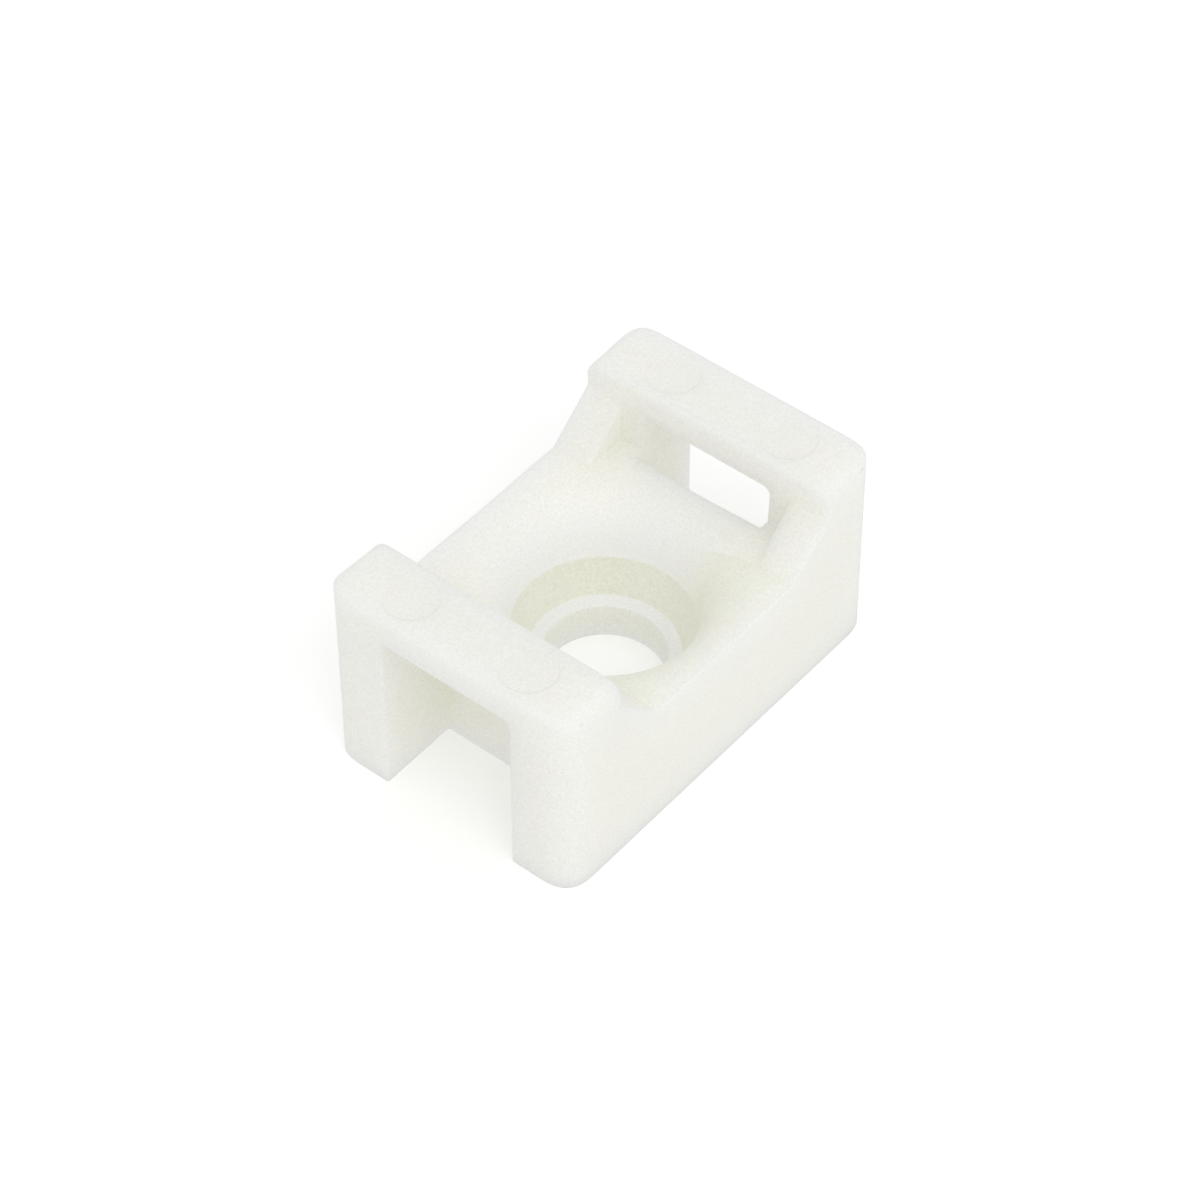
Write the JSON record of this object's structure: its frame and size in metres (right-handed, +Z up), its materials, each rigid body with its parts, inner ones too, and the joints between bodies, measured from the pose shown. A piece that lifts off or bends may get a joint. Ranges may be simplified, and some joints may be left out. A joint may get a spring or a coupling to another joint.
{
  "type": "cable tie mount",
  "caption": "One-piece saddle mount for cable ties: a block with end gates bridging open tie slots, ramps beside a flat saddle, and a screw hole in a rounded mouth.",
  "frame": {"origin": "middle of the flat underside", "axes": "+X along the length, through both end gates; +Y across the width, the way the cables run; +Z up from the mounting surface"},
  "size_m": [0.015, 0.0096, 0.0074],
  "materials": {
    "nylon": "natural moulded nylon, slightly translucent"
  },
  "bodies": {
    "root": {"saddle_mount": "nylon"}
  },
  "joints": []
}
